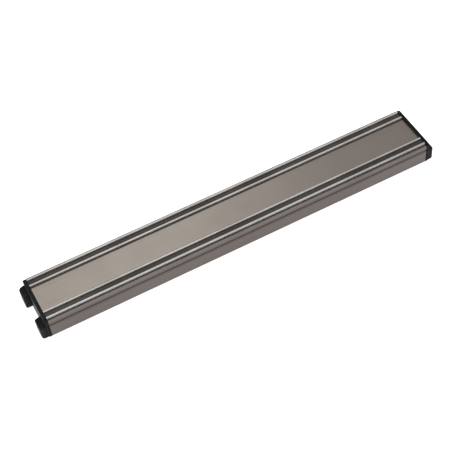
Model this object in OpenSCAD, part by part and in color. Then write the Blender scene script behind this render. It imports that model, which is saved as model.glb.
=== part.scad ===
// Magnetic holder bar: an extruded aluminium body with two magnetic rails and
// moulded end caps. Millimetres. X runs along the bar, Y across it, and +Z points
// out of the working face. The origin is the middle of the back face.

/* [Body] */
// Length of the aluminium profile
bar_l = 390; // [240:5:600]
// Width of the flat face panel between the two rails
face_w = 27.6; // [22:0.1:40]
// Height of the face panel above the back face
body_h = 23; // [20:0.5:30]
// Thickness of the back wall and of the sides
wall = 1.6; // [1.2:0.1:2]
// Thickness of the face panel and of the inner ribs
rib = 1.4; // [1:0.1:1.8]
// Thickness of the wall between a rail and the outside, at the shoulder
shoulder_wall = 1.3; // [1:0.05:1.8]
// Depth of the crease line in each side below the face panel
crease_down = 6.1; // [5:0.1:10]
// Width of the crease line
crease_w = 3.2; // [1:0.2:4]
// Depth of the crease line into the side
crease_d = 0.6; // [0.3:0.05:0.8]
// Radius of the two back edges
back_r = 2.2; // [1:0.1:3]
// Width of the slot along the back, where a wall clip slides in
rear_slot_w = 16; // [10:0.5:18]

/* [Magnetic rails] */
// Thickness of a magnet, across the bar
magnet_w = 5.3; // [4:0.1:8]
// Height of a magnet
magnet_h = 6.2; // [4:0.1:7.5]
// Number of magnets in each rail
magnet_n = 8; // [4:1:10]
// Gap between two magnets of a rail
magnet_gap = 1.5; // [0.5:0.1:4]
// Thickness of a steel pole strip
pole_t = 2; // [1.5:0.1:3]
// Radius of the pole strips' two top edges
pole_r = 0.6; // [0.2:0.05:0.7]
// How far the pole strips stand out of the face panel
pole_proud = 1.9; // [1:0.1:2.4]
// How far the filler strip lies below the pole strips' edges
filler_drop = 1.1; // [0.5:0.1:1.8]
// Thickness of the wall of a rail tray
tray_wall = 1.2; // [1:0.1:1.6]
// Thickness of the floor of a rail tray
tray_floor = 1; // [0.8:0.1:1.4]
// How far a tray's foot reaches under the body's hook, on the panel's side
foot_w = 0.8; // [0.5:0.1:1]
// Height of a tray's foot
foot_h = 1.6; // [1.2:0.1:1.8]
// Depth of a rail channel below the face panel
channel_depth = 10.1; // [9:0.1:10.5]

/* [End caps] */
// Thickness of a cap's flange, along the bar
cap_t = 3.4; // [2.5:0.1:5]
// Radius of the flange's two top corners
cap_corner_r = 4.6; // [1.5:0.1:5.5]
// How far the lugs reach out from the flange
lug_out = 5.8; // [4.5:0.1:8]
// Height of a lug's upright outer face above the back face
lug_h = 14.6; // [10:0.2:16]
// Height over which a lug's top slopes up to the flange
lug_slope_h = 2.4; // [1:0.2:3.4]
// Width of the open notch between a cap's two lugs
notch_w = 24.6; // [12:0.2:30]
// How far the lugs' outer sides are set in from the body's side
lug_inset = 0.7; // [0.4:0.1:2]
// Radius of a lug's upright corner at the side of the bar
lug_r = 2.4; // [1:0.1:3]
// Radius of a lug's upright corner at the notch
notch_r = 1; // [0.5:0.1:2]
// Radius of a lug's bottom outer edge, seen from the side
lug_foot_r = 2.2; // [1.5:0.1:4]
// Radius of a lug's bottom edge along the side of the bar
lug_edge_r = 1.6; // [0.8:0.1:2.4]
// Length of the hollow plugs that hold a cap in the body
plug_l = 14; // [8:1:20]
// Wall thickness of a plug
plug_wall = 1.8; // [1.4:0.1:2.4]

/* [Fit] */
// Clearance on each side of a piece that slides into the body
fit = 0.1; // [0.05:0.05:0.2]

/* [Hidden] */
$fn = 48;
// A small overrun, so that cuts pass right through a face
eps = 1;
tray_w = magnet_w + 2 * pole_t + 2 * tray_wall;
channel_w = tray_w + 2 * fit;
rail_y = face_w / 2 + channel_w / 2;
body_half = rail_y + channel_w / 2 + shoulder_wall;
channel_floor_z = body_h - channel_depth;
pole_top_z = body_h + pole_proud;
tray_inside_z = channel_floor_z + fit + tray_floor;
magnet_top_z = tray_inside_z + magnet_h;
filler_top_z = pole_top_z - filler_drop;
pole_y = magnet_w / 2 + pole_t / 2;
magnet_l = (bar_l - (magnet_n + 1) * magnet_gap) / magnet_n;
crease_z = body_h - crease_down;
// Half width of the hollow behind the face panel, where a wall clip runs
hollow_half = face_w / 2 - foot_w - rib;
hollow_top_z = body_h - rib;
// The chamber under each rail
chamber_in = hollow_half + rib;
chamber_out = body_half - wall;
chamber_top_z = channel_floor_z - rib;
lug_end = body_half - lug_inset;
lug_tip_x = cap_t + lug_out;
arc_steps = 8;

SIDES = [["upper", 1], ["lower", -1]];

// Points of an arc about [u, v] with radius r, from angle a0 to angle a1
function arc(u, v, r, a0, a1) =
    [for (i = [0:arc_steps]) let (a = a0 + (a1 - a0) * i / arc_steps) [u + r * cos(a), v + r * sin(a)]];

// Mirrors a half outline, given from bottom to top, into a closed outline
function both_halves(half) =
    concat(half, [for (i = [len(half) - 1:-1:0]) [-half[i][0], half[i][1]]]);

// One side of the body's outline, from its back edge up past the crease to the
// top corner at height top_z, which has radius r
function side_points(top_z, r) = concat(
    arc(body_half - back_r, back_r, back_r, -90, 0),
    [[body_half, crease_z - crease_w / 2], [body_half - crease_d, crease_z]],
    [[body_half, crease_z + crease_w / 2]],
    arc(body_half - r, top_z - r, r, 0, 90)
);

// Moves a drawing in the YZ plane so that it runs along X, starting at x
module along_x(x, l) {
    translate([x, 0, 0]) rotate([90, 0, 90]) linear_extrude(height = l) children();
}

// A rectangle from corner [y0, z0] to corner [y1, z1]
module pane(y0, z0, y1, z1) {
    translate([y0, z0]) square([y1 - y0, z1 - z0]);
}

// The channel that a rail tray slides into, with its undercut foot
module channel_outline() {
    translate([rail_y, 0]) {
        pane(-channel_w / 2, channel_floor_z, channel_w / 2, body_h + eps);
        pane(-channel_w / 2 - foot_w, channel_floor_z, 0, channel_floor_z + foot_h + 2 * fit);
    }
}

module housing_outline() {
    difference() {
        polygon(both_halves(side_points(body_h, shoulder_wall)));
        pane(-hollow_half, wall, hollow_half, hollow_top_z);
        pane(-rear_slot_w / 2, -eps, rear_slot_w / 2, wall + eps);
        for (m = [0, 1]) mirror([m, 0]) {
            channel_outline();
            pane(chamber_in, wall, chamber_out, chamber_top_z);
        }
    }
}

// The aluminium profile: face panel, two rail channels, sides, chambers and back slot
module housing() {
    color([0.60, 0.57, 0.54]) along_x(-bar_l / 2, bar_l) housing_outline();
}

// A rail tray's outline, with its foot towards the middle of the bar
module tray_outline() {
    difference() {
        union() {
            pane(-tray_w / 2, channel_floor_z + fit, tray_w / 2, body_h);
            pane(-tray_w / 2 - foot_w, channel_floor_z + fit, 0, channel_floor_z + fit + foot_h);
        }
        pane(-tray_w / 2 + tray_wall, tray_inside_z, tray_w / 2 - tray_wall, body_h + eps);
    }
}

// The plastic tray that carries the steel and the magnets of one rail
module tray(side) {
    color([0.10, 0.10, 0.10]) along_x(-bar_l / 2, bar_l)
        mirror([side < 0 ? 1 : 0, 0]) translate([rail_y, 0]) tray_outline();
}

// A steel strip on edge with rounded top edges; out is +1 for the strip nearer the bar's side
module pole(side, out) {
    color([0.86, 0.86, 0.85]) translate([0, side * (rail_y + out * pole_y), 0]) along_x(-bar_l / 2, bar_l)
        polygon(both_halves(concat(
            [[pole_t / 2, tray_inside_z]],
            arc(pole_t / 2 - pole_r, pole_top_z - pole_r, pole_r, 0, 90)
        )));
}

// The black strip that closes a rail between its two pole strips
module filler(side) {
    color([0.14, 0.14, 0.14]) translate([0, side * rail_y, 0]) along_x(-bar_l / 2, bar_l)
        pane(-magnet_w / 2, magnet_top_z, magnet_w / 2, filler_top_z);
}

// One block magnet; i counts from 1 at the left end
module magnet(side, i) {
    color([0.25, 0.25, 0.27])
        translate([-bar_l / 2 + magnet_gap + (i - 1) * (magnet_l + magnet_gap), side * rail_y - magnet_w / 2,
            tray_inside_z])
        cube([magnet_l, magnet_w, magnet_h]);
}

// A lug's outline in the XZ plane: rounded foot, upright face and sloping top
module lug_profile() {
    polygon(concat(
        [[cap_t / 2, 0]],
        arc(lug_tip_x - lug_foot_r, lug_foot_r, lug_foot_r, -90, 0),
        [[lug_tip_x, lug_h], [cap_t, lug_h + lug_slope_h], [cap_t / 2, lug_h + lug_slope_h]]
    ));
}

// A lug's outline seen along the bar, with its rounded bottom side edge
module lug_section() {
    polygon(concat(
        [[0, 0]],
        arc(lug_end - lug_edge_r, lug_edge_r, lug_edge_r, -90, 0),
        [[lug_end, body_h], [0, body_h]]
    ));
}

// A lug's outline seen from above the bar's face, with its rounded upright corners
module lug_plan() {
    y0 = notch_w / 2;
    polygon(concat(
        [[0, y0]],
        arc(lug_tip_x - notch_r, y0 + notch_r, notch_r, -90, 0),
        arc(lug_tip_x - lug_r, lug_end - lug_r, lug_r, 0, 90),
        [[0, lug_end]]
    ));
}

module lug() {
    intersection() {
        translate([0, lug_end, 0]) rotate([90, 0, 0]) linear_extrude(height = lug_end) lug_profile();
        linear_extrude(height = body_h) lug_plan();
        along_x(0, lug_tip_x) lug_section();
    }
}

// A hollow plug that fills the space from corner [y0, z0] to corner [y1, z1]
module plug(y0, z0, y1, z1) {
    difference() {
        along_x(-plug_l, plug_l + cap_t / 2) pane(y0 + fit, z0 + fit, y1 - fit, z1 - fit);
        along_x(-plug_l - eps, plug_l + eps)
            pane(y0 + fit + plug_wall, z0 + fit + plug_wall, y1 - fit - plug_wall, z1 - fit - plug_wall);
    }
}

// A cap with its outer face towards +X; x = 0 is the end of the aluminium
module end_cap() {
    color([0.09, 0.09, 0.09]) union() {
        along_x(0, cap_t) polygon(both_halves(side_points(pole_top_z, cap_corner_r)));
        plug(-hollow_half, wall, hollow_half, hollow_top_z);
        for (m = [0, 1]) mirror([0, m, 0]) {
            lug();
            plug(chamber_in, wall, chamber_out, chamber_top_z);
        }
    }
}

module right_end_cap() {
    translate([bar_l / 2, 0, 0]) end_cap();
}

module left_end_cap() {
    rotate([0, 0, 180]) translate([bar_l / 2, 0, 0]) end_cap();
}

housing();
left_end_cap();
right_end_cap();
for (s = SIDES) {
    tray(s[1]);
    pole(s[1], 1);
    pole(s[1], -1);
    filler(s[1]);
    for (i = [1:magnet_n]) magnet(s[1], i);
}
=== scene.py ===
"""Looks of a magnetic holder bar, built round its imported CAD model.

Everything is in metres in the model's own frame: X runs along the bar, Y across it and
+Z out of the working face, with the back face on Z = 0. Every shape is an outline in the
YZ plane carried along X, or sections stacked along Z, worked out as whole numpy arrays.
"""

import logging
import math
from dataclasses import dataclass, field, replace
from enum import Enum
from typing import Iterable, Sequence

import bpy
import numpy as np
from mathutils import Matrix, Vector
from mathutils.geometry import tessellate_polygon

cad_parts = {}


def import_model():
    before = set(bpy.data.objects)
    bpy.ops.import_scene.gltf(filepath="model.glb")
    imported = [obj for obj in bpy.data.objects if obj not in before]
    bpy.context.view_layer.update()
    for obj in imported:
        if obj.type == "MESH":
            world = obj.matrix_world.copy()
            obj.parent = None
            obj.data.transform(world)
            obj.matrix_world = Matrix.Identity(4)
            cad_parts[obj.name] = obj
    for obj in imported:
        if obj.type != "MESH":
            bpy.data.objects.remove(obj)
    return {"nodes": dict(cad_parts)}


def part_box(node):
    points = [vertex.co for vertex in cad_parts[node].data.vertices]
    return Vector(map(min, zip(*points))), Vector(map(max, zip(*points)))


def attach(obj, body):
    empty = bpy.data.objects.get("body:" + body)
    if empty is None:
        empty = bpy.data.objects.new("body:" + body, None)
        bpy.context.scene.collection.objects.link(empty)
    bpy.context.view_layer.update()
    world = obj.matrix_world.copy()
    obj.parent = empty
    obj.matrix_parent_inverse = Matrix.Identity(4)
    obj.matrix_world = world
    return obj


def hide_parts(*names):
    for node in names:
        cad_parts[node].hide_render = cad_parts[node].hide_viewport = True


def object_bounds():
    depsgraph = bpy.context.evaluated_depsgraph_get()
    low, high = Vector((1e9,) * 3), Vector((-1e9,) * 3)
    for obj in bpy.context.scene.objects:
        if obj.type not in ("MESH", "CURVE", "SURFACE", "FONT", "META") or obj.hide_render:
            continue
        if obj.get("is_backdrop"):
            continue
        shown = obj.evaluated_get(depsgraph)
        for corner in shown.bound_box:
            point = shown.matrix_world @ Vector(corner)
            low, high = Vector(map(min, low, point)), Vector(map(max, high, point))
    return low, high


LOG = logging.getLogger("holder_bar")
BODY = "root"
EDGE_ATTRIBUTE = "edge"
# Vertex attribute that carries painted shade for the crease along the bar's sides.
CREASE_SHADE_ATTRIBUTE = "recess"
MM = 0.001
EDGE_FADE = 0.6 * MM  # how far an edge's value dies away on the flats beside it
HAIR = 0.01 * MM  # how far points inside a straight move before an end is filled
STRAIGHT = 1e-4  # a point whose turn has a smaller sine is inside a straight


class Side(Enum):
    """The two long sides of the bar."""

    UPPER = 1
    LOWER = -1

    @property
    def label(self) -> str:
        """The side's name as the CAD nodes spell it."""
        return self.name.lower()


class End(Enum):
    """The two ends of the bar."""

    LEFT = -1
    RIGHT = 1

    @property
    def label(self) -> str:
        """The end's name as the CAD nodes spell it."""
        return self.name.lower()


class Slot(Enum):
    """Names of material slots for the new pieces' finishes; nothing in this script uses them."""

    HOUSING = "housing"
    END_CAP = "end_cap"
    TRAY = "tray"
    POLE = "pole_steel"
    FILLER = "filler"


# ---------------------------------------------------------------------------
# Shapes
# ---------------------------------------------------------------------------


@dataclass(frozen=True)
class Outline:
    """A closed outline with rounded corners, the solid on its left.

    Attributes:
        points: (n, 2) positions along the outline.
        normals: (n, 2) unit normals that point out of the solid.
        edge: (n,) 1 on the arcs of corners that stand out, 0 elsewhere.
    """

    points: np.ndarray
    normals: np.ndarray
    edge: np.ndarray


@dataclass
class Shell:
    """A closed surface as plain arrays.

    Attributes:
        verts: (n, 3) positions in metres.
        normals: (n, 3) unit normals of the true surface.
        edge: (n,) how much each point belongs to an outer edge, 0 to 1.
        quads: (k, 4) point numbers.
        tris: (m, 3) point numbers.
        recess: (n,) painted shade at each point in the crease, 0 to 1, or None for nowhere.
    """

    verts: np.ndarray
    normals: np.ndarray
    edge: np.ndarray
    quads: np.ndarray
    tris: np.ndarray
    recess: np.ndarray | None = None

    def crease_shaded(self, half: float, z: float, width: float, depth: float) -> "Shell":
        """The shell with painted shade set along the crease in the bar's sides.

        The value is exp(-(h / fade)^2), with h the height above or below the crease's
        bottom and fade 0.7 of its width, on the points of the two outer sides.

        Args:
            half: Half the body's width.
            z: Height of the crease's bottom.
            width: The crease's width.
            depth: The crease's depth.

        Returns:
            The shell with its painted crease shade.
        """
        fade, reach, inner = 0.7 * width, 1.6 * width, half - 1.2 * depth
        y, height = np.abs(self.verts[:, 1]), self.verts[:, 2] - z
        near = (y > inner) & (np.abs(height) < reach)
        return replace(self, recess=np.where(near, np.exp(-((height / fade) ** 2)), 0.0))


def rounded(
    corners: Sequence[Sequence[float]], radii: Sequence[float] | float, steps: int = 4
) -> Outline:
    """Rounds the corners of a closed polygon.

    With a and b the unit directions from a corner to its neighbours and h half the angle
    between them, the arc's centre lies r / sin(h) along a + b, its ends r / tan(h) along a
    and b, and it turns through pi - 2 h. The edge value dies away beside each arc, on a
    short straight over 0.4 of its length.

    Args:
        corners: The polygon's corners, with the solid on the left.
        radii: One radius for each corner, or one for all.
        steps: Segments in each arc.

    Returns:
        The rounded outline.
    """
    c = np.asarray(corners, float)
    r = np.array(np.broadcast_to(np.asarray(radii, float), len(c)))
    a, b = np.roll(c, 1, 0) - c, np.roll(c, -1, 0) - c
    length = np.linalg.norm(b, axis=1)
    a /= np.linalg.norm(a, axis=1)[:, None]
    b /= length[:, None]
    convex = np.sign(a[:, 1] * b[:, 0] - a[:, 0] * b[:, 1])
    half = 0.5 * np.arccos(np.clip((a * b).sum(1), -1.0, 1.0))
    tangent = r / np.tan(half)
    middle = (a + b) / np.linalg.norm(a + b, axis=1)[:, None]
    centre = c + middle * (r / np.sin(half))[:, None]
    first = c + a * tangent[:, None] - centre
    angle = np.arctan2(first[:, 1], first[:, 0])[:, None] + (
        convex * (np.pi - 2.0 * half)
    )[:, None] * np.linspace(0.0, 1.0, steps + 1)
    ray = np.stack([np.cos(angle), np.sin(angle)], -1)
    arc = centre[:, None] + r[:, None, None] * ray
    normal = ray * convex[:, None, None]
    free = length - tangent - np.roll(tangent, -1)
    fade_b = np.minimum(EDGE_FADE, 0.4 * free)
    fade_a = np.roll(fade_b, 1)
    before = c + a * (tangent + fade_a)[:, None]
    after = c + b * (tangent + fade_b)[:, None]
    on_arc = np.repeat((convex > 0).astype(float)[:, None], steps + 1, 1)
    none = np.zeros((len(c), 1))
    return Outline(
        np.concatenate([before[:, None], arc, after[:, None]], 1).reshape(-1, 2),
        np.concatenate([normal[:, :1], normal, normal[:, -1:]], 1).reshape(-1, 2),
        np.concatenate([none, on_arc, none], 1).ravel(),
    )


def finer(line: Outline, spacing: float) -> Outline:
    """Splits an outline's long straights evenly, so that no step is over the spacing.

    Each step from P to Q becomes k steps, with points P + (Q - P) i / k, and the normals
    and edge values go from one end to the other in the same way.

    Args:
        line: The outline.
        spacing: The longest step wanted.

    Returns:
        The finer outline.
    """
    ahead = np.roll(line.points, -1, 0)
    count = np.maximum(1, np.ceil(np.linalg.norm(ahead - line.points, axis=1) / spacing))
    count = count.astype(int)
    number = np.repeat(np.arange(len(count)), count)
    first = np.repeat(np.cumsum(count) - count, count)
    share = (np.arange(len(number)) - first) / count[number]

    def between(values: np.ndarray) -> np.ndarray:
        """Values at the new points, on a straight line between the old ones."""
        part = share if values.ndim == 1 else share[:, None]
        return values[number] * (1 - part) + np.roll(values, -1, 0)[number] * part

    normals = between(line.normals)
    normals /= np.linalg.norm(normals, axis=1)[:, None]
    return Outline(between(line.points), normals, between(line.edge))


def mirrored(corners: np.ndarray) -> np.ndarray:
    """The same corners on the other side of the bar, with the solid still on the left."""
    return (np.asarray(corners, float) * [-1.0, 1.0])[::-1]


def fill_rings(lines: Sequence[Outline], inset: float = 0.0) -> np.ndarray:
    """Triangles that fill an outer outline and its holes.

    The filling is done in millimetres, because it drops points that lie very close. Points
    inside a straight, where the cross product of the steps before and after is nearly
    zero, are first moved a hair into the solid, so that no triangle is flat.

    Args:
        lines: The outer outline, then its holes.
        inset: How far the outlines are drawn in.

    Returns:
        (m, 3) numbers into the outlines' points in one row, anticlockwise.
    """
    rings = []
    for line in lines:
        ring = line.points - inset * line.normals
        ahead = np.roll(ring, -1, 0) - ring
        ahead /= np.linalg.norm(ahead, axis=1)[:, None]
        back = np.roll(ahead, 1, 0)
        turn = np.abs(back[:, 0] * ahead[:, 1] - back[:, 1] * ahead[:, 0])
        rings.append(ring - HAIR * (turn < STRAIGHT)[:, None] * line.normals)
    flat = np.concatenate(rings)
    found = tessellate_polygon([[Vector((*p, 0.0)) for p in ring / MM] for ring in rings])
    tris = np.array(found, int).reshape(-1, 3)
    p, q, s = flat[tris[:, 0]], flat[tris[:, 1]], flat[tris[:, 2]]
    area = (q[:, 0] - p[:, 0]) * (s[:, 1] - p[:, 1]) - (q[:, 1] - p[:, 1]) * (s[:, 0] - p[:, 0])
    return np.where((area < 0)[:, None], tris[:, ::-1], tris)


def stations(
    x0: float, x1: float, r0: float, r1: float, spacing: float, steps: int = 3
) -> tuple[np.ndarray, np.ndarray, np.ndarray, np.ndarray, np.ndarray]:
    """Places along X where an outline is repeated, with rounded ends.

    At an end of radius r, with t from 0 to a right angle, x moves in by r (1 - cos t), the
    outline shrinks by r (1 - sin t), and the normal is cos t along X and sin t across it.
    The radius is smaller than every outer corner of the outline, so none of them closes up.
    The straight middle starts a little past each rounded end, where the edge value is 0.

    Args:
        x0: Lower end.
        x1: Upper end.
        r0: Radius of the edge at the lower end.
        r1: Radius of the edge at the upper end.
        spacing: Rough distance between the places in the straight middle.
        steps: Segments in each rounded end.

    Returns:
        Arrays of x, inset, the normal's share along X, its share across, and edge value.
    """
    t = np.linspace(0.0, np.pi / 2.0, steps + 1)
    fade = min(EDGE_FADE, 0.2 * (x1 - x0 - r0 - r1))
    count = max(2, int(round((x1 - x0) / spacing)) + 1)
    mid = np.linspace(x0 + r0 + fade, x1 - r1 - fade, count)
    x = np.concatenate([x0 + r0 * (1 - np.cos(t)), mid, x1 - r1 * (1 - np.cos(t[::-1]))])
    inset = np.concatenate([r0 * (1 - np.sin(t)), 0 * mid, r1 * (1 - np.sin(t[::-1]))])
    along = np.concatenate([-np.cos(t), 0 * mid, np.cos(t[::-1])])
    across = np.concatenate([np.sin(t), 0 * mid + 1.0, np.sin(t[::-1])])
    edge = np.concatenate([0 * t + 1.0, 0 * mid, 0 * t + 1.0])
    return x, inset, along, across, edge


def swept(
    outlines: Sequence[Outline],
    x0: float,
    x1: float,
    r0: float,
    r1: float,
    spacing: float = 20 * MM,
) -> Shell:
    """Carries an outline and its holes along X and closes both ends.

    The point at place i and outline point j is (x_i, P_j - inset_i N_j), and its normal is
    (along_i, across_i N_j).

    Args:
        outlines: The outer outline, then its holes.
        x0: Lower end.
        x1: Upper end.
        r0: Radius of the edge at the lower end.
        r1: Radius of the edge at the upper end.
        spacing: Rough distance between rings in the straight middle.

    Returns:
        The closed shell.
    """
    x, inset, along, across, end_edge = stations(x0, x1, r0, r1, spacing)
    m, start = len(x), 0
    verts, normals, edges, quads, low, high = [], [], [], [], [], []
    for line in outlines:
        n = len(line.points)
        yz = line.points[None] - inset[:, None, None] * line.normals[None]
        wide_x = np.repeat(x[:, None, None], n, 1)
        verts.append(np.concatenate([wide_x, yz], -1).reshape(-1, 3))
        out = across[:, None, None] * line.normals[None]
        normals.append(
            np.concatenate([np.repeat(along[:, None, None], n, 1), out], -1).reshape(-1, 3)
        )
        edges.append(np.maximum(end_edge[:, None], line.edge[None]).ravel())
        grid = start + np.arange(m * n).reshape(m, n)
        ahead = np.roll(grid, -1, 1)
        quads.append(
            np.stack([grid[:-1], ahead[:-1], ahead[1:], grid[1:]], -1).reshape(-1, 4)
        )
        low.append(grid[0])
        high.append(grid[-1])
        start += m * n
    tris, tris_high = fill_rings(outlines, r0), fill_rings(outlines, r1)
    return Shell(
        np.concatenate(verts),
        np.concatenate(normals),
        np.concatenate(edges),
        np.concatenate(quads),
        np.concatenate([np.concatenate(low)[tris[:, ::-1]], np.concatenate(high)[tris_high]]),
    )


def slab(y0: float, z0: float, y1: float, z1: float, radius: float, hole: bool = False) -> Outline:
    """A rounded rectangle from one corner to the other; as a hole it runs the other way."""
    corners = [(y0, z0), (y1, z0), (y1, z1), (y0, z1)]
    return rounded(corners[::-1] if hole else corners, radius)


def make_object(name: str, shell: Shell, true_normals: bool = True) -> bpy.types.Object:
    """Puts a shell into a mesh object at the origin.

    Args:
        name: The object's name.
        shell: The surface.
        true_normals: Whether the shell's own normals shade the mesh.

    Returns:
        The linked object.
    """
    mesh = bpy.data.meshes.new(name)
    mesh.from_pydata(shell.verts.tolist(), [], shell.quads.tolist() + shell.tris.tolist())
    mesh.polygons.foreach_set("use_smooth", np.ones(len(mesh.polygons), bool))
    # The second attribute carries the painted shade in the crease.
    recess = np.zeros(len(shell.verts)) if shell.recess is None else shell.recess
    for key, values in ((EDGE_ATTRIBUTE, shell.edge), (CREASE_SHADE_ATTRIBUTE, recess)):
        layer = mesh.attributes.new(key, "FLOAT", "POINT")
        layer.data.foreach_set("value", values.astype(np.float32))
    mesh.update()
    if true_normals:
        mesh.normals_split_custom_set_from_vertices(shell.normals.tolist())
    obj = bpy.data.objects.new(name, mesh)
    bpy.context.scene.collection.objects.link(obj)
    return obj


def united(base: bpy.types.Object, others: Iterable[bpy.types.Object]) -> bpy.types.Object:
    """Unites closed solids into one and drops the others.

    Args:
        base: The object that keeps its name.
        others: Solids that touch or overlap it.

    Returns:
        The base object with the united mesh.
    """
    for other in others:
        tool = base.modifiers.new("unite", "BOOLEAN")
        tool.operation, tool.solver, tool.object = "UNION", "EXACT", other
        with bpy.context.temp_override(object=base, active_object=base):
            bpy.ops.object.modifier_apply(modifier=tool.name)
        bpy.data.objects.remove(other)
    return base


# ---------------------------------------------------------------------------
# Materials
# ---------------------------------------------------------------------------


class Graph:
    """A short way to write a node tree.

    Attributes:
        tree: The node tree.
    """

    def __init__(self, tree: bpy.types.NodeTree) -> None:
        """Starts on an empty tree."""
        self.tree = tree
        tree.nodes.clear()

    def add(self, kind: str, settings: dict | None = None, **inputs: object) -> bpy.types.Node:
        """Adds a node.

        Args:
            kind: The node's type, such as ShaderNodeMix.
            settings: Attributes to set on the node before its sockets.
            inputs: Socket name, with _ for a space, or i and a number: a value, or a
                socket to link from.

        Returns:
            The node.
        """
        node = self.tree.nodes.new(kind)
        for key, value in (settings or {}).items():
            setattr(node, key, value)
        for key, value in inputs.items():
            numbered = key[0] == "i" and key[1:].isdigit()
            self.feed(node.inputs[int(key[1:]) if numbered else key.replace("_", " ")], value)
        return node

    def feed(self, socket: bpy.types.NodeSocket, value: object) -> None:
        """Gives an input socket a plain value, or a link from another socket.

        Args:
            socket: The input socket.
            value: The plain value or the socket to link from.
        """
        if isinstance(value, bpy.types.NodeSocket):
            self.tree.links.new(value, socket)
        else:
            socket.default_value = value

    def place(self) -> bpy.types.NodeSocket:
        """The position on the piece, in the bar's own frame."""
        return self.add("ShaderNodeTexCoord").outputs["Object"]

    def scaled(self, at: bpy.types.NodeSocket, by: object) -> bpy.types.NodeSocket:
        """A position times a vector, axis by axis."""
        return self.add("ShaderNodeVectorMath", {"operation": "MULTIPLY"}, i0=at, i1=by).outputs[0]

    def noise(
        self,
        at: bpy.types.NodeSocket,
        scale: object,
        detail: float,
        rough: float = 0.5,
        warp: float = 0.0,
    ) -> bpy.types.NodeSocket:
        """Soft noise, about 0 to 1.

        Args:
            at: The position.
            scale: Patches per unit of the position.
            detail: How many finer layers are added.
            rough: How strong the finer layers are.
            warp: How far the pattern is bent.

        Returns:
            The noise's socket.
        """
        node = self.add(
            "ShaderNodeTexNoise",
            Vector=at,
            Scale=scale,
            Detail=detail,
            Roughness=rough,
            Distortion=warp,
        )
        return node.outputs[0]

    def ramp(
        self,
        fac: bpy.types.NodeSocket,
        low: float,
        high: float,
        a: float = 0.0,
        b: float = 1.0,
    ) -> bpy.types.NodeSocket:
        """Maps fac from low..high to a..b and keeps it there.

        Args:
            fac: The socket to map.
            low: Value of fac that gives a.
            high: Value of fac that gives b.
            a: Result at low.
            b: Result at high.

        Returns:
            The result's socket.
        """
        node = self.add(
            "ShaderNodeMapRange",
            {"clamp": True},
            Value=fac,
            From_Min=low,
            From_Max=high,
            To_Min=a,
            To_Max=b,
        )
        return node.outputs[0]

    def blend(self, fac: object, a: object, b: object) -> bpy.types.NodeSocket:
        """Mixes colour a into colour b as fac goes from 0 to 1."""
        return self.add("ShaderNodeMix", {"data_type": "RGBA"}, i0=fac, i6=a, i7=b).outputs[2]

    def maths(self, kind: str, a: object, b: object) -> bpy.types.NodeSocket:
        """One arithmetic step on two values."""
        return self.add("ShaderNodeMath", {"operation": kind}, i0=a, i1=b).outputs[0]

    def relief(
        self, height: bpy.types.NodeSocket, strength: float, depth: float
    ) -> bpy.types.NodeSocket:
        """Normals of a fine relief, whose depth is for a height of 0 to 1."""
        node = self.add("ShaderNodeBump", Strength=strength, Distance=depth, Height=height)
        return node.outputs[0]


def new_group(
    name: str, inputs: dict[str, float], outputs: Sequence[str]
) -> tuple[bpy.types.NodeTree, Graph, dict[str, bpy.types.NodeSocket], bpy.types.Node]:
    """Starts a node group with float inputs and outputs.

    Args:
        name: The group's name.
        inputs: Input names and their defaults.
        outputs: Output names.

    Returns:
        The tree, its graph, its input sockets by name and its output node.
    """
    tree = bpy.data.node_groups.new(name, "ShaderNodeTree")
    for key, value in inputs.items():
        socket = tree.interface.new_socket(key, in_out="INPUT", socket_type="NodeSocketFloat")
        socket.default_value = value
    for key in outputs:
        tree.interface.new_socket(key, in_out="OUTPUT", socket_type="NodeSocketFloat")
    graph = Graph(tree)
    given = tree.nodes.new("NodeGroupInput")
    result = tree.nodes.new("NodeGroupOutput")
    return tree, graph, {key: given.outputs[key] for key in inputs}, result


def streaks_group() -> bpy.types.NodeTree:
    """Fine lines along X, as drawn or brushed metal has: noise drawn out along the bar.

    Returns:
        A group with the inputs Lines per metre and Stretch, and the outputs Lines and
        Clouds, both about 0 to 1.
    """
    tree, g, given, result = new_group(
        "streaks", {"Lines": 900.0, "Stretch": 0.012}, ["Lines", "Clouds"]
    )
    place = g.place()
    along = g.maths("MULTIPLY", given["Lines"], given["Stretch"])
    scale = g.add("ShaderNodeCombineXYZ", i0=along, i1=given["Lines"], i2=given["Lines"])
    at = g.scaled(place, scale.outputs[0])
    fine = g.maths("MULTIPLY", g.noise(at, scale=1.0, detail=3.0, rough=0.62), 0.65)
    wide = g.maths("MULTIPLY", g.noise(at, scale=0.17, detail=2.0), 0.35)
    clouds = g.noise(place, scale=14.0, detail=3.0)
    g.feed(result.inputs["Lines"], g.ramp(g.maths("ADD", fine, wide), 0.3, 0.7))
    g.feed(result.inputs["Clouds"], g.ramp(clouds, 0.3, 0.7))
    return tree


def wear_and_shade_group() -> bpy.types.NodeTree:
    """Where edges are rubbed, and the painted shade in creases.

    They are the mesh's edge values and its painted crease shade, broken up by noise.

    Returns:
        A group with the inputs Amount and Scale and the outputs Mask and Crease shade, the painted
        shade in creases.
    """
    tree, g, given, result = new_group(
        "edge_wear_and_crease_shade", {"Amount": 0.5, "Scale": 260.0}, ["Mask", "Recess"]
    )
    edge, crease_shade_strength = (
        g.add("ShaderNodeAttribute", {"attribute_name": name}).outputs["Fac"]
        for name in (EDGE_ATTRIBUTE, CREASE_SHADE_ATTRIBUTE)
    )
    place = g.place()
    chips = g.noise(place, scale=given["Scale"], detail=4.0, rough=0.7)
    drift = g.noise(place, scale=31.0, detail=1.0)
    broken = g.maths("MULTIPLY", chips, g.ramp(drift, 0.35, 0.65, 0.5, 1.4))
    strong = g.maths("MULTIPLY", g.ramp(broken, 0.28, 0.62), given["Amount"])
    # Noise that breaks up the painted shade in creases.
    shade_breakup = g.ramp(drift, 0.3, 0.7, 0.85, 1.0)
    g.feed(result.inputs["Mask"], g.maths("MULTIPLY", edge, strong))
    g.feed(result.inputs["Recess"], g.maths("MULTIPLY", crease_shade_strength, shade_breakup))
    return tree


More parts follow.
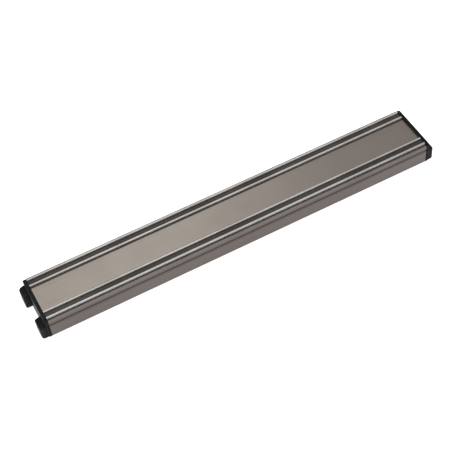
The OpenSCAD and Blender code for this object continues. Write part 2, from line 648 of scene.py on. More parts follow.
def skin_group() -> bpy.types.NodeTree:
    """The fine matt skin of moulded plastic and the faint scuffs and dust on it.

    Returns:
        A group with the inputs Grain per metre and Dust, and the outputs Grain, Dust and
        Scuffs.
    """
    tree, g, given, result = new_group(
        "moulded_skin", {"Grain": 3200.0, "Dust": 0.4}, ["Grain", "Dust", "Scuffs"]
    )
    place = g.place()
    cells = g.add("ShaderNodeTexVoronoi", Vector=place, Scale=given["Grain"])
    pores = g.noise(place, scale=g.maths("MULTIPLY", given["Grain"], 0.6), detail=2.0)
    grain = g.maths("ADD", cells.outputs[0], pores)
    specks = g.ramp(g.noise(place, scale=1900.0, detail=1.0), 0.52, 0.7)
    patches = g.ramp(g.noise(place, scale=45.0, detail=4.0), 0.4, 0.65)
    dust = g.maths("MULTIPLY", specks, patches)
    along = g.scaled(place, (60.0, 700.0, 500.0))
    rub = g.noise(along, scale=1.0, detail=2.0, warp=0.6)
    g.feed(result.inputs["Grain"], g.ramp(grain, 0.3, 1.3))
    g.feed(result.inputs["Dust"], g.maths("MULTIPLY", dust, given["Dust"]))
    g.feed(result.inputs["Scuffs"], g.ramp(rub, 0.58, 0.7))
    return tree


@dataclass
class Workshop:
    """The shared node groups, each made once.

    Attributes:
        streaks: Lines and clouds of drawn metal.
        wear: Rubbed edges and painted shade in creases.
        skin: Grain, dust and scuffs of moulded plastic.
    """

    streaks: bpy.types.NodeTree = field(default_factory=streaks_group)
    wear: bpy.types.NodeTree = field(default_factory=wear_and_shade_group)
    skin: bpy.types.NodeTree = field(default_factory=skin_group)

    def place(
        self, g: Graph, group: bpy.types.NodeTree, first: float, second: float
    ) -> bpy.types.NodeOutputs:
        """Places a group in a material.

        Args:
            g: The material's graph.
            group: One of the shared groups.
            first: Value of its first input.
            second: Value of its second input.

        Returns:
            The group's output sockets, found by name.
        """
        return g.add("ShaderNodeGroup", {"node_tree": group}, i0=first, i1=second).outputs


Colour = tuple[float, float, float]
WHITE: Colour = (1.0, 1.0, 1.0)


def rgba(colour: Colour) -> tuple[float, float, float, float]:
    """A colour with full alpha."""
    return (*colour, 1.0)


def start_material(name: str) -> tuple[bpy.types.Material, Graph, bpy.types.Node]:
    """A new material with a Principled shader wired to its output.

    Args:
        name: The material's name.

    Returns:
        The material, its graph and the shader node.
    """
    material = bpy.data.materials.new(name)
    material.use_nodes = True
    g = Graph(material.node_tree)
    shader = g.add("ShaderNodeBsdfPrincipled")
    g.add("ShaderNodeOutputMaterial", Surface=shader.outputs[0])
    return material, g, shader


@dataclass(frozen=True)
class DrawnMetal:
    """Metal with fine lines along the bar: anodised aluminium or ground steel.

    Attributes:
        name: The material's name.
        colour: Colour on the lines.
        shade: Darker colour between the lines and in the clouds.
        rubbed: Colour of worn edges.
        roughness: Roughness between the lines and on them.
        lines: Lines per metre across the bar.
        stretch: Lines per metre along the bar, as a share of those across it.
        wear: How much of an edge is worn.
        bump: Strength of the lines' relief.
        metallic: How metallic the surface is.
        crease_shade_colour: Colour of the painted shade at the bottom of a crease.
        crease_shade_share: How far a crease takes that painted shade.
        line_tone: How far the spaces between the lines take the shade.
        cloud_tone: How far the clouds take the shade.
        cloud_gloss: How far the clouds change the roughness, up and down.
        chips: Chips per metre along a worn edge.
        relief: Depth of the lines.
    """

    name: str
    colour: Colour
    shade: Colour
    rubbed: Colour
    roughness: tuple[float, float]
    lines: float
    stretch: float
    wear: float
    bump: float
    metallic: float = 1.0
    # Painted shade colour for the bottom of a crease.
    crease_shade_colour: Colour = (0.030, 0.027, 0.025)
    crease_shade_share: float = 0.78
    line_tone: float = 0.45
    cloud_tone: float = 0.35
    cloud_gloss: float = 0.025
    chips: float = 420.0
    relief: float = 0.02 * MM

    def build(self, shop: Workshop) -> bpy.types.Material:
        """Makes the material.

        Args:
            shop: The shared node groups.

        Returns:
            The material.
        """
        material, g, shader = start_material(self.name)
        streaks = shop.place(g, shop.streaks, self.lines, self.stretch)
        worn = shop.place(g, shop.wear, self.wear, self.chips)
        line, cloud = streaks["Lines"], streaks["Clouds"]
        shade = rgba(self.shade)
        toned = g.blend(g.ramp(cloud, 0.0, 1.0, 0.0, self.cloud_tone), rgba(self.colour), shade)
        streaked = g.blend(g.ramp(line, 0.0, 1.0, self.line_tone, 0.0), toned, shade)
        # Darkens the crease with painted shade.
        crease_shade_strength = g.maths("MULTIPLY", worn["Recess"], self.crease_shade_share)
        with_crease_shade = g.blend(crease_shade_strength, streaked, rgba(self.crease_shade_colour))
        rough = g.maths(
            "ADD",
            g.ramp(line, 0.0, 1.0, *self.roughness),
            g.ramp(cloud, 0.0, 1.0, -self.cloud_gloss, self.cloud_gloss),
        )
        g.feed(shader.inputs["Base Color"], g.blend(worn["Mask"], with_crease_shade, rgba(self.rubbed)))
        g.feed(shader.inputs["Roughness"], rough)
        g.feed(shader.inputs["Metallic"], self.metallic)
        g.feed(shader.inputs["Normal"], g.relief(line, self.bump, self.relief))
        return material


@dataclass(frozen=True)
class MouldedBlack:
    """Black plastic or rubber with a fine matt skin.

    Attributes:
        name: The material's name.
        colour: Colour of the clean skin.
        dusty: Colour of the specks of dust.
        rubbed: Colour of worn edges; on the end caps it is light enough to also paint a highlight
            along the edges.
        roughness: Roughness in the grain's hollows and on its tops.
        grain: Grains per metre.
        dust: How much dust lies on it.
        wear: How much of an edge is worn.
        bump: Strength of the grain's relief.
        specular: Level of the mirror-like reflection.
        scuff_gloss: How much smoother the scuffs are.
        chips: Chips per metre along a worn edge.
        relief: Depth of the grain.
    """

    name: str
    colour: Colour
    dusty: Colour
    rubbed: Colour
    roughness: tuple[float, float]
    grain: float
    dust: float
    wear: float
    bump: float
    specular: float
    scuff_gloss: float = 0.08
    chips: float = 300.0
    relief: float = 0.03 * MM

    def build(self, shop: Workshop) -> bpy.types.Material:
        """Makes the material.

        Args:
            shop: The shared node groups.

        Returns:
            The material.
        """
        material, g, shader = start_material(self.name)
        skin = shop.place(g, shop.skin, self.grain, self.dust)
        worn = shop.place(g, shop.wear, self.wear, self.chips)
        dusty = g.blend(skin["Dust"], rgba(self.colour), rgba(self.dusty))
        rough = g.maths(
            "SUBTRACT",
            g.ramp(skin["Grain"], 0.0, 1.0, *self.roughness),
            g.maths("MULTIPLY", skin["Scuffs"], self.scuff_gloss),
        )
        # Worn edges lighten the colour; on the end caps this is also a painted highlight.
        g.feed(shader.inputs["Base Color"], g.blend(worn["Mask"], dusty, rgba(self.rubbed)))
        g.feed(shader.inputs["Roughness"], rough)
        g.feed(shader.inputs["Specular IOR Level"], self.specular)
        g.feed(shader.inputs["Normal"], g.relief(skin["Grain"], self.bump, self.relief))
        return material


ANODISED = DrawnMetal(
    name="anodised_aluminium",
    colour=(0.151, 0.127, 0.1185),
    shade=(0.118, 0.0995, 0.093),
    rubbed=(0.29, 0.262, 0.245),
    roughness=(0.36, 0.44),
    lines=1500.0,
    stretch=0.008,
    wear=0.22,
    bump=0.10,
)
GROUND_STEEL = DrawnMetal(
    name="ground_steel",
    colour=(0.346, 0.322, 0.315),
    shade=(0.269, 0.249, 0.244),
    rubbed=(0.53, 0.505, 0.495),
    roughness=(0.50, 0.62),
    lines=2600.0,
    stretch=0.02,
    wear=0.5,
    bump=0.12,
    metallic=0.75,
)
FERRITE = DrawnMetal(
    name="ferrite",
    colour=(0.055, 0.055, 0.06),
    shade=(0.03, 0.03, 0.034),
    rubbed=(0.11, 0.11, 0.11),
    roughness=(0.5, 0.62),
    lines=1200.0,
    stretch=0.6,
    wear=0.4,
    bump=0.3,
    metallic=0.4,
)
CAP_PLASTIC = MouldedBlack(
    name="cap_plastic",
    colour=(0.0022, 0.0022, 0.0025),
    dusty=(0.024, 0.024, 0.023),
    # Light worn edges, set light enough to also paint the highlight along the cap's edges.
    rubbed=(0.020, 0.020, 0.021),
    roughness=(0.36, 0.48),
    grain=2600.0,
    dust=0.25,
    wear=0.6,
    bump=0.3,
    specular=0.06,
)
TRAY_PLASTIC = MouldedBlack(
    name="tray_plastic",
    colour=(0.034, 0.029, 0.027),
    dusty=(0.07, 0.068, 0.065),
    rubbed=(0.06, 0.06, 0.058),
    roughness=(0.5, 0.62),
    grain=2200.0,
    dust=0.2,
    wear=0.4,
    bump=0.2,
    specular=0.2,
)
FILLER_RUBBER = MouldedBlack(
    name="filler_rubber",
    colour=(0.0185, 0.0132, 0.0122),
    dusty=(0.09, 0.085, 0.08),
    rubbed=(0.045, 0.045, 0.042),
    roughness=(0.5, 0.66),
    grain=1500.0,
    dust=0.4,
    wear=0.5,
    bump=0.4,
    specular=0.25,
)


# ---------------------------------------------------------------------------
# Pieces
# ---------------------------------------------------------------------------


def place_piece(
    obj: bpy.types.Object,
    material: bpy.types.Material,
    nodes: Sequence[str],
) -> bpy.types.Object:
    """Gives a new piece its material, hangs it on the bar's body and hides the CAD nodes that it
    replaces.

    Args:
        obj: The piece, in place.
        material: Its finish.
        nodes: The CAD nodes that it replaces.

    Returns:
        The piece.
    """
    obj.data.materials.clear()
    obj.data.materials.append(material)
    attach(obj, BODY)
    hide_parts(*nodes)
    LOG.info("%s: %d faces, %s", obj.name, len(obj.data.polygons), material.name)
    return obj


@dataclass
class Housing:
    """The extruded aluminium body with its channels, chambers and back slot.

    Attributes:
        back_r: Radius of the back's long edges.
        crease_down: How far the crease's bottom lies under the face.
        crease_w: Width of the crease.
        crease_d: Depth of the crease.
        shoulder_r: Radii of the outer and inner edges of the wall outside a rail.
        wall: Thickness of the back and of the outer walls.
        rib: Thickness of the walls inside.
        slot_w: Width of the slot along the back.
        foot_w: How far a channel reaches under the face panel.
        foot_h: Height of that undercut.
        fit: Clearance round the rails.
        soft_edge: Radius of the crease's edges.
        fine_edge: Radius of the channels' edges.
        end_edge: Radius of the edges at the sawn ends.
        slot_r: Radius of the back slot's edges.
        foot_r: Radius of the hollow's edges at the back.
        roof_r: Radius of the hollow's edges under the face.
        chamber_r: Radius of the side chambers' edges.
        gap: Longest distance between the outline's points.
    """

    back_r: float = 2.2 * MM
    crease_down: float = 6.1 * MM
    crease_w: float = 3.2 * MM
    crease_d: float = 0.6 * MM
    shoulder_r: tuple[float, float] = (0.975 * MM, 0.26 * MM)
    wall: float = 1.6 * MM
    rib: float = 1.4 * MM
    slot_w: float = 16 * MM
    foot_w: float = 0.8 * MM
    foot_h: float = 1.8 * MM
    fit: float = 0.1 * MM
    soft_edge: float = 0.3 * MM
    fine_edge: float = 0.25 * MM
    end_edge: float = 0.15 * MM
    slot_r: float = 0.3 * MM
    foot_r: float = 0.5 * MM
    roof_r: float = 0.8 * MM
    chamber_r: float = 0.4 * MM
    gap: float = 1.2 * MM

    def half_outline(self) -> tuple[np.ndarray, np.ndarray]:
        """Corners and radii of the outside, on the half with positive Y.

        They run from the back's long edge up the side and through the rail channel to the
        edge of the face panel.

        Returns:
            (n, 2) corners and their (n,) radii.
        """
        low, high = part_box("housing")
        tray_low, tray_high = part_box("upper_tray")
        half, top = high.y, high.z
        crease = top - self.crease_down
        outer = tray_high.y + self.fit
        floor = tray_low.z - self.fit
        foot = tray_low.y - self.fit
        inner = foot + self.foot_w
        rows = [
            (half, low.z, self.back_r),
            (half, crease - self.crease_w / 2, self.soft_edge),
            (half - self.crease_d, crease, self.soft_edge),
            (half, crease + self.crease_w / 2, self.soft_edge),
            (half, top, self.shoulder_r[0]),
            (outer, top, self.shoulder_r[1]),
            (outer, floor, self.fine_edge),
            (foot, floor, self.fine_edge),
            (foot, floor + self.foot_h, self.fine_edge),
            (inner, floor + self.foot_h, self.fine_edge),
            (inner, top, self.fine_edge),
        ]
        table = np.array(rows)
        return table[:, :2], table[:, 2]

    def outlines(self) -> list[Outline]:
        """The full section.

        Returns:
            One outline that runs in through the back slot round the hollow, then the two
            side chambers.
        """
        low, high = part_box("housing")
        tray_low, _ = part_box("upper_tray")
        corners, radii = self.half_outline()
        hollow = tray_low.y - self.fit - self.rib
        top = high.z - self.rib
        inside = np.array(
            [
                (-self.slot_w / 2, low.z),
                (-self.slot_w / 2, self.wall),
                (-hollow, self.wall),
                (-hollow, top),
                (hollow, top),
                (hollow, self.wall),
                (self.slot_w / 2, self.wall),
                (self.slot_w / 2, low.z),
            ]
        )
        inside_r = [self.slot_r, self.slot_r, self.foot_r, self.roof_r]
        outer = rounded(
            np.concatenate([corners, mirrored(corners), inside]),
            np.concatenate([radii, radii[::-1], inside_r, inside_r[::-1]]),
        )
        floor = tray_low.z - self.fit
        start, stop = hollow + self.rib, high.y - self.wall
        chamber = np.array(
            [
                (start, self.wall),
                (start, floor - self.rib),
                (stop, floor - self.rib),
                (stop, self.wall),
            ]
        )
        holes = [rounded(room, self.chamber_r) for room in (chamber, mirrored(chamber))]
        return [finer(outer, self.gap), *holes]

    def build(self, material: bpy.types.Material) -> bpy.types.Object:
        """Makes the body.

        Args:
            material: Its finish.

        Returns:
            The piece.
        """
        low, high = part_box("housing")
        # Paints shade into the crease along both sides of the body.
        shell = swept(self.outlines(), low.x, high.x, self.end_edge, self.end_edge).crease_shaded(
            high.y, high.z - self.crease_down, self.crease_w, self.crease_d
        )
        obj = make_object("housing_body", shell)
        return place_piece(obj, material, ["housing"])


@dataclass
class Rail:
    """One magnetic rail: a tray, two pole strips, a filler strip and the magnets.

    Attributes:
        side: The side of the bar that it is on.
        wall: Thickness of the tray's sides.
        floor: Thickness of the tray's floor.
        foot_w: How far the tray's foot reaches towards the middle of the bar.
        foot_h: Height of the foot.
        rim_edge: Radius of the edges that show on the tray.
        hidden_edge: Radius of the edges that don't show.
        end_edge: Radius of the edges at the pieces' ends.
        pole_edge: Radius of a pole strip's top edges.
        filler_edge: Radius of the filler's top edges.
        crown: How far the filler's top edges lie under its middle.
        crown_over: How far the crown's corner lies over its rounded top.
        crown_r: Radius of the filler's crowned top.
    """

    side: Side
    wall: float = 1.2 * MM
    floor: float = 1.0 * MM
    foot_w: float = 0.8 * MM
    foot_h: float = 1.6 * MM
    rim_edge: float = 0.25 * MM
    hidden_edge: float = 0.2 * MM
    end_edge: float = 0.1 * MM
    pole_edge: float = 0.6 * MM
    filler_edge: float = 0.35 * MM
    crown: float = 0.22 * MM
    crown_over: float = 0.04 * MM
    crown_r: float = 9 * MM

    def oriented(self, corners: Sequence[Sequence[float]]) -> np.ndarray:
        """Corners written for the upper side, moved to this side."""
        found = np.asarray(corners, float)
        return found if self.side is Side.UPPER else mirrored(found)

    def carried(
        self, node: str, line: Outline, material: bpy.types.Material
    ) -> bpy.types.Object:
        """Carries a section along a CAD node's length, as the piece that replaces it.

        Args:
            node: The CAD node.
            line: The section.
            material: The piece's finish.

        Returns:
            The piece.
        """
        low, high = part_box(node)
        shell = swept([line], low.x, high.x, self.end_edge, self.end_edge)
        return place_piece(make_object(f"{node}_piece", shell), material, [node])

    def tray(self, material: bpy.types.Material) -> bpy.types.Object:
        """The plastic tray: a U section with a foot towards the middle of the bar.

        Args:
            material: Its finish.

        Returns:
            The piece.
        """
        low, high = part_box("upper_tray")
        left = low.y + self.foot_w
        inside_z = low.z + self.floor
        corners = [
            (low.y, low.z),
            (high.y, low.z),
            (high.y, high.z),
            (high.y - self.wall, high.z),
            (high.y - self.wall, inside_z),
            (left + self.wall, inside_z),
            (left + self.wall, high.z),
            (left, high.z),
            (left, low.z + self.foot_h),
            (low.y, low.z + self.foot_h),
        ]
        hid, rim = self.hidden_edge, self.rim_edge
        radii = np.array([hid, hid, rim, rim, hid, hid, rim, rim, hid, hid])
        if self.side is Side.LOWER:
            radii = radii[::-1]
        line = rounded(self.oriented(corners), radii)
        return self.carried(f"{self.side.label}_tray", line, material)

    def pole(self, which: str, material: bpy.types.Material) -> bpy.types.Object:
        """A steel strip on edge with softened corners.

        Args:
            which: outer or inner.
            material: Its finish.

        Returns:
            The piece.
        """
        node = f"{self.side.label}_{which}_pole"
        low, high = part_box(node)
        corners = [(low.y, low.z), (high.y, low.z), (high.y, high.z), (low.y, high.z)]
        hid, top = self.hidden_edge, self.pole_edge
        return self.carried(node, rounded(corners, [hid, hid, top, top]), material)

    def filler(self, material: bpy.types.Material) -> bpy.types.Object:
        """The dark strip between the pole strips, with a slightly crowned top.

        Args:
            material: Its finish.

        Returns:
            The piece.
        """
        node = f"{self.side.label}_filler"
        low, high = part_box(node)
        corners = [
            (low.y, low.z),
            (high.y, low.z),
            (high.y, high.z - self.crown),
            ((low.y + high.y) / 2, high.z + self.crown_over),
            (low.y, high.z - self.crown),
        ]
        hid, top = self.hidden_edge, self.filler_edge
        line = rounded(corners, [hid, hid, top, self.crown_r, top])
        return self.carried(node, line, material)

    def dress_magnets(
        self, nodes: dict[str, bpy.types.Object], material: bpy.types.Material
    ) -> int:
        """Gives this rail's magnets, which stay CAD nodes, their finish.

        Args:
            nodes: The CAD nodes by name.
            material: The finish.

        Returns:
            How many magnets there are.
        """
        found = [o for n, o in sorted(nodes.items()) if n.startswith(f"{self.side.label}_magnet_")]
        for obj in found:
            obj.data.materials.clear()
            obj.data.materials.append(material)
            LOG.info("%s: %s", obj.name, material.name)
        return len(found)


@dataclass
class EndCap:
    """A moulded end cap: flange, two lugs and three hollow plugs.

    Attributes:
        end: The end of the bar that it closes.
        corner_r: Radius of the flange's upper corners.
        soft_r: Radius of the crease's edges in the flange, more than outer_edge.
        outer_edge: Radius of the flange's outer edge.
        inner_edge: Radius of the flange's edge against the body.
        thickness: The flange's thickness.
        root: Where in that thickness the lugs start, as a share of it.
        lug_inset: How far the lugs lie in from the body's sides.
        lug_height: A lug's height at its outer face.
        lug_slope: How much higher a lug is at the flange.
        notch_w: Width of the notch between the lugs.
        side_r: Radius of a lug's upright edge towards the bar's side.
        notch_r: Radius of a lug's upright edge towards the notch.
        foot_r: Radius of a lug's foot, in height and along the bar.
        foot_side: How far the foot draws in at the bar's side.
        lift: Height of the lowest section over the back face.
        top_r: Radius of a lug's top edges.
        least_r: Smallest radius of an upright edge, where the sections draw in.
        root_r: Radius of a lug's upright edges inside the flange.
        bend: Angle at which the rounding of foot and top ends, in degrees.
        sections: Sections in the rounding of the foot, and of the top.
        plug_wall: Thickness of the plugs' walls.
        plug_r: Radii of the plugs' long edges, outside and inside.
        plug_ends: Radii of the edges at the plugs' tips and roots.
        plug_root: Where in the flange's thickness the plugs start, as a share of it.
        plug_gap: Rough distance between a plug's sections.
        fit: Clearance round the plugs.
        sharp: Angle between faces above which an edge is shaded sharp, in degrees.
    """

    end: End
    corner_r: float = 4.6 * MM
    soft_r: float = 1.2 * MM
    outer_edge: float = 0.8 * MM
    inner_edge: float = 0.15 * MM
    thickness: float = 3.4 * MM
    root: float = 0.5
    lug_inset: float = 0.7 * MM
    lug_height: float = 14.6 * MM
    lug_slope: float = 2.4 * MM
    notch_w: float = 24.6 * MM
    side_r: float = 2.4 * MM
    notch_r: float = 1.0 * MM
    foot_r: float = 2.2 * MM
    foot_side: float = 1.5 * MM
    lift: float = 0.03 * MM
    top_r: float = 1.2 * MM
    least_r: float = 0.15 * MM
    root_r: float = 0.2 * MM
    bend: float = 78.0
    sections: int = 7
    plug_wall: float = 1.8 * MM
    plug_r: tuple[float, float] = (0.4 * MM, 0.3 * MM)
    plug_ends: tuple[float, float] = (0.2 * MM, 0.1 * MM)
    plug_root: float = 0.3
    plug_gap: float = 7 * MM
    fit: float = 0.1 * MM
    sharp: float = 34.0

    @property
    def node(self) -> str:
        """The CAD node that this cap stands for."""
        return f"{self.end.label}_end_cap"

    def flange(self) -> Shell:
        """The plate that closes the bar: the body's outline, raised to the poles' tops.

        Returns:
            The flange's shell, drawn for the right end.
        """
        _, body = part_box("housing")
        low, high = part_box("right_end_cap")
        half, crease = body.y, body.z - Housing.crease_down
        side = np.array(
            [
                (half, low.z),
                (half, crease - Housing.crease_w / 2),
                (half - Housing.crease_d, crease),
                (half, crease + Housing.crease_w / 2),
                (half, high.z),
            ]
        )
        radii = [Housing.back_r, self.soft_r, self.soft_r, self.soft_r, self.corner_r]
        line = rounded(np.concatenate([side, mirrored(side)]), radii + radii[::-1], steps=6)
        return swept(
            [line],
            body.x,
            body.x + self.thickness,
            self.inner_edge,
            self.outer_edge,
            self.thickness,
        )

    def lug(self, side: Side) -> Shell:
        """A lug: rounded rectangles in plan, stacked from its foot to its sloping top.

        With b from nearly minus to plus a right angle, each section's outer sides draw in
        by an edge radius times (1 - cos b), and its height is the foot's or the top's
        radius times sin b past the straight part. The height is then scaled up towards
        the flange, by the slope's rise over the lug's height.

        Args:
            side: Which of the two lugs.

        Returns:
            The lug's shell, drawn for the right end.
        """
        _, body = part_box("housing")
        _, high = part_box("right_end_cap")
        root, tip = body.x + self.root * self.thickness, high.x
        y0, y1 = self.notch_w / 2, body.y - self.lug_inset
        bend = np.radians(np.linspace(0, self.bend, self.sections))
        b = np.concatenate([-bend[::-1], bend])
        foot = np.arange(len(b)) < len(bend)
        z = np.where(
            foot,
            self.lift + self.foot_r * (np.sin(bend[-1]) + np.sin(b)),
            self.lug_height + self.top_r * (np.sin(b) - 1.0),
        )
        loops = []
        for draw, low in zip(1.0 - np.cos(b), foot):
            front = tip - draw * (self.foot_r if low else self.top_r)
            side_draw = draw * (self.foot_side if low else self.top_r)
            notch_draw = draw * self.notch_r
            near, far = y0 + notch_draw, y1 - side_draw
            corners = [(root, near), (front, near), (front, far), (root, far)]
            notch_r = max(self.least_r, self.notch_r - notch_draw)
            side_r = max(self.least_r, self.side_r - side_draw)
            radii = [self.root_r, notch_r, side_r, self.root_r]
            loops.append(rounded(corners, radii, steps=5))
        return self.stacked(loops, z, b, root, tip, side)

    def stacked(
        self,
        loops: Sequence[Outline],
        z: np.ndarray,
        b: np.ndarray,
        root: float,
        tip: float,
        side: Side,
    ) -> Shell:
        """Joins plan outlines into a closed shell and slopes its top.

        The point at height i and outline point j is (P_ij, z_i g), where g goes from 1 at
        the tip to 1 + slope / height at the flange, and its normal is (cos b_i N_ij,
        sin b_i).

        Args:
            loops: One plan outline for each height.
            z: The heights.
            b: The bend angle at each height.
            root: X where the lug starts, inside the flange.
            tip: X of the lug's outer face.
            side: Which of the two lugs.

        Returns:
            The shell.
        """
        xy = np.stack([line.points for line in loops])
        out = np.stack([line.normals for line in loops])
        m, n = xy.shape[:2]
        steep = self.lug_slope / self.lug_height
        length = tip - root - (1.0 - self.root) * self.thickness
        rise = 1.0 + steep * (tip - xy[..., 0]) / length
        height = z[:, None] * np.clip(rise, 1.0, 1.0 + steep)
        verts = np.concatenate([xy, height[..., None]], -1).reshape(-1, 3)
        normals = np.concatenate(
            [np.cos(b)[:, None, None] * out, np.repeat(np.sin(b)[:, None, None], n, 1)], -1
        ).reshape(-1, 3)
        bent = (b != 0.0).astype(float)[:, None]
        edge = np.maximum(bent, np.stack([line.edge for line in loops])).ravel()
        grid = np.arange(m * n).reshape(m, n)
        ahead = np.roll(grid, -1, 1)
        quads = np.stack([grid[:-1], ahead[:-1], ahead[1:], grid[1:]], -1).reshape(-1, 4)
        bottom, top = fill_rings(loops[:1]), fill_rings(loops[-1:])
        tris = np.concatenate([grid[0][bottom[:, ::-1]], grid[-1][top]])
        if side is Side.LOWER:
            flip = np.array([1.0, -1.0, 1.0])
            verts, normals = verts * flip, normals * flip
            quads, tris = quads[:, ::-1], tris[:, ::-1]
        return Shell(verts, normals, edge, quads, tris)

    def plugs(self) -> list[Shell]:
        """The hollow plugs that hold the cap, one in the hollow and two in the chambers.

        Each is a tube along X whose outer end is buried in the flange.

        Returns:
            The three shells, drawn for the right end.
        """
        _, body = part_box("housing")
        low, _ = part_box("right_end_cap")
        tray_low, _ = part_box("upper_tray")
        wall, rib = Housing.wall, Housing.rib
        hollow = tray_low.y - self.fit - rib
        rooms = [
            (-hollow, wall, hollow, body.z - rib),
            (hollow + rib, wall, body.y - wall, tray_low.z - self.fit - rib),
        ]
        rooms.append((-rooms[1][2], wall, -rooms[1][0], rooms[1][3]))
        x0, x1 = low.x, body.x + self.plug_root * self.thickness
        f, w = self.fit, self.fit + self.plug_wall
        shells = []
        for y0, z0, y1, z1 in rooms:
            tube = [
                slab(y0 + f, z0 + f, y1 - f, z1 - f, self.plug_r[0]),
                slab(y0 + w, z0 + w, y1 - w, z1 - w, self.plug_r[1], hole=True),
            ]
            shells.append(swept(tube, x0, x1, *self.plug_ends, self.plug_gap))
        return shells

    def build(self, material: bpy.types.Material) -> bpy.types.Object:
        """Makes the cap as one solid.

        It is drawn for the right end, and turned half round Z for the left one.

        Args:
            material: Its finish.

        Returns:
            The piece.
        """
        base = make_object(f"{self.node}_piece", self.flange(), False)
        others = [self.lug(side) for side in Side] + self.plugs()
        parts = [
            make_object(f"{self.node}_part_{i}", shell, False) for i, shell in enumerate(others)
        ]
        united(base, parts)
        base.data.transform(Matrix.Diagonal((self.end.value, self.end.value, 1.0, 1.0)))
        base.data.polygons.foreach_set("use_smooth", np.ones(len(base.data.polygons), bool))
        base.data.set_sharp_from_angle(angle=math.radians(self.sharp))
        shade = base.modifiers.new("even_shading", "WEIGHTED_NORMAL")
        shade.keep_sharp = True
        return place_piece(base, material, [self.node])


# ---------------------------------------------------------------------------
# Studio
# ---------------------------------------------------------------------------


@dataclass(frozen=True)
class Softbox:
    """A square area light that faces the bar.

    Attributes:
        name: The light's name.
        direction: Where it is, seen from the bar.
        distance: How far it is from the bar, in metres.
        size: Its side, in metres.
        radiance: Its brightness, per area.
        colour: Its tint.
    """

    name: str
    direction: tuple[float, float, float]
    distance: float
    size: float
    radiance: float
    colour: Colour = WHITE

    def build(self, aim: Vector) -> bpy.types.Object:
        """Makes the light.

        Args:
            aim: The point it faces.

        Returns:
            The light object.
        """
        data = bpy.data.lights.new(self.name, "AREA")
        data.shape, data.size = "SQUARE", self.size
        data.energy = self.radiance * math.pi * self.size**2
        data.color = self.colour
        obj = bpy.data.objects.new(self.name, data)
        way = Vector(self.direction).normalized()
        obj.location = aim + way * self.distance
        obj.rotation_euler = (-way).to_track_quat("-Z", "Y").to_euler()
        bpy.context.scene.collection.objects.link(obj)
        return obj


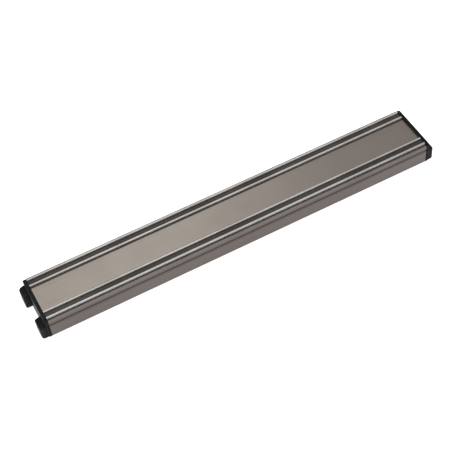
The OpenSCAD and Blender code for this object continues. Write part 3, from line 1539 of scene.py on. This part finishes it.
@dataclass
class Studio:
    """Floor, light and camera.

    Attributes:
        azimuth: Which way the camera looks, from +Y towards +X, in degrees.
        elevation: How far it looks down, in degrees.
        roll: How far it leans over to its right, in degrees.
        distance: Its distance from the point it aims at, in metres.
        aim_offset: That point, from the middle of the bar's box.
        lens: Focal length, in millimetres.
        sensor: Width of the sensor, in millimetres.
        clip: Nearest and farthest distance that it sees.
        floor_half: Half the floor's width.
        floor_steps: Points along each side of the floor.
        floor_flat: The flat part's radius, as a share of floor_half.
        floor_curve: How fast the floor rises beyond that, per metre.
        floor_drop: Gap between the floor and the bar.
        floor_colour: Colour of the paper.
        floor_glow: Strength of the light that comes through the paper.
        sky: Strength of the light from all around.
        boxes: The softboxes.
    """

    azimuth: float = 22.53
    elevation: float = 51.45
    roll: float = 6.77
    distance: float = 1.0846
    aim_offset: tuple[float, float, float] = (-0.0100, -0.0041, 0.0)
    lens: float = 94.05
    sensor: float = 36.0
    clip: tuple[float, float] = (0.05, 50.0)
    floor_half: float = 6.0
    floor_steps: int = 41
    floor_flat: float = 0.6
    floor_curve: float = 0.05
    floor_drop: float = 0.05 * MM
    floor_colour: Colour = (0.55, 0.55, 0.55)
    floor_glow: float = 0.85
    sky: float = 1.1
    boxes: tuple[Softbox, ...] = (
        Softbox(
            name="key",
            direction=(-0.03, 0.60, 0.80),
            distance=1.7,
            size=1.15,
            radiance=2.9,
            colour=(0.905, 0.985, 0.88),
        ),
    )

    def camera(self, centre: Vector) -> bpy.types.Object:
        """Makes the scene's camera.

        Args:
            centre: The middle of the bar's box.

        Returns:
            The camera object.
        """
        az, el, roll = (math.radians(v) for v in (self.azimuth, self.elevation, self.roll))
        look = Vector(
            (math.sin(az) * math.cos(el), math.cos(az) * math.cos(el), -math.sin(el))
        )
        right = look.cross(Vector((0, 0, 1))).normalized()
        up = right.cross(look)
        tilted = up * math.cos(roll) + right * math.sin(roll)
        side = look.cross(tilted)
        turn = Matrix((side, tilted, -look)).transposed().to_4x4()
        data = bpy.data.cameras.new("camera")
        data.lens, data.sensor_width = self.lens, self.sensor
        data.clip_start, data.clip_end = self.clip
        obj = bpy.data.objects.new("camera", data)
        place = centre + Vector(self.aim_offset) - look * self.distance
        obj.matrix_world = Matrix.Translation(place) @ turn
        bpy.context.scene.collection.objects.link(obj)
        bpy.context.scene.camera = obj
        return obj

    def paper(self) -> bpy.types.Material:
        """The floor's matt white paper, with light coming through it.

        Returns:
            The material.
        """
        material, g, shader = start_material("floor_paper")
        fibre = g.noise(g.place(), scale=900.0, detail=2.0)
        g.feed(shader.inputs["Base Color"], rgba(self.floor_colour))
        g.feed(shader.inputs["Roughness"], g.ramp(fibre, 0.3, 0.7, 0.85, 0.95))
        g.feed(shader.inputs["Specular IOR Level"], 0.1)
        g.feed(shader.inputs["Emission Color"], rgba(WHITE))
        g.feed(shader.inputs["Emission Strength"], self.floor_glow)
        return material

    def floor(self, z: float) -> bpy.types.Object:
        """Makes the pale floor, a sheet of paper that curves up far from the bar.

        The height is z out to a radius, and beyond it z plus floor_curve times the square
        of the distance from that radius.

        Args:
            z: Height of the surface under the bar.

        Returns:
            The floor object.
        """
        line = np.linspace(-self.floor_half, self.floor_half, self.floor_steps)
        x, y = np.meshgrid(line, line, indexing="ij")
        far = np.maximum(np.hypot(x, y) - self.floor_flat * self.floor_half, 0.0)
        verts = np.stack([x, y, z + self.floor_curve * far**2], -1).reshape(-1, 3)
        grid = np.arange(x.size).reshape(x.shape)
        quads = np.stack([grid[:-1, :-1], grid[1:, :-1], grid[1:, 1:], grid[:-1, 1:]], -1)
        mesh = bpy.data.meshes.new("floor")
        mesh.from_pydata(verts.tolist(), [], quads.reshape(-1, 4).tolist())
        mesh.polygons.foreach_set("use_smooth", np.ones(len(mesh.polygons), bool))
        obj = bpy.data.objects.new("floor", mesh)
        bpy.context.scene.collection.objects.link(obj)
        mesh.materials.append(self.paper())
        obj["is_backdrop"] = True
        return obj

    def build(self, low: Vector, high: Vector) -> None:
        """Makes the floor, the light and the camera.

        Args:
            low: Lowest corner of the bar's box.
            high: Highest corner of the bar's box.
        """
        scene = bpy.context.scene
        centre = (low + high) / 2
        self.floor(low.z - self.floor_drop)
        self.camera(centre)
        for box in self.boxes:
            box.build(centre)
        world = bpy.data.worlds.new("studio_air")
        world.use_nodes = True
        back = world.node_tree.nodes["Background"]
        back.inputs["Color"].default_value = rgba(WHITE)
        back.inputs["Strength"].default_value = self.sky
        scene.world = world
        scene.view_settings.view_transform = "Standard"
        LOG.info("studio: floor, %d softboxes, camera", len(self.boxes))


def main() -> None:
    """Builds the bar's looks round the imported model, in order."""
    logging.basicConfig(level=logging.INFO, format="%(name)s: %(message)s")
    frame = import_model()
    cad_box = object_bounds()
    shop = Workshop()
    steel = GROUND_STEEL.build(shop)
    tray_black = TRAY_PLASTIC.build(shop)
    rubber = FILLER_RUBBER.build(shop)
    ferrite = FERRITE.build(shop)
    cap_black = CAP_PLASTIC.build(shop)
    Housing().build(ANODISED.build(shop))
    for side in Side:
        rail = Rail(side)
        rail.tray(tray_black)
        rail.pole("outer", steel)
        rail.pole("inner", steel)
        rail.filler(rubber)
        LOG.info("%s rail: %d magnets", side.label, rail.dress_magnets(frame["nodes"], ferrite))
    for end in End:
        EndCap(end).build(cap_black)
    Studio().build(*cad_box)


if __name__ == "__main__":
    main()
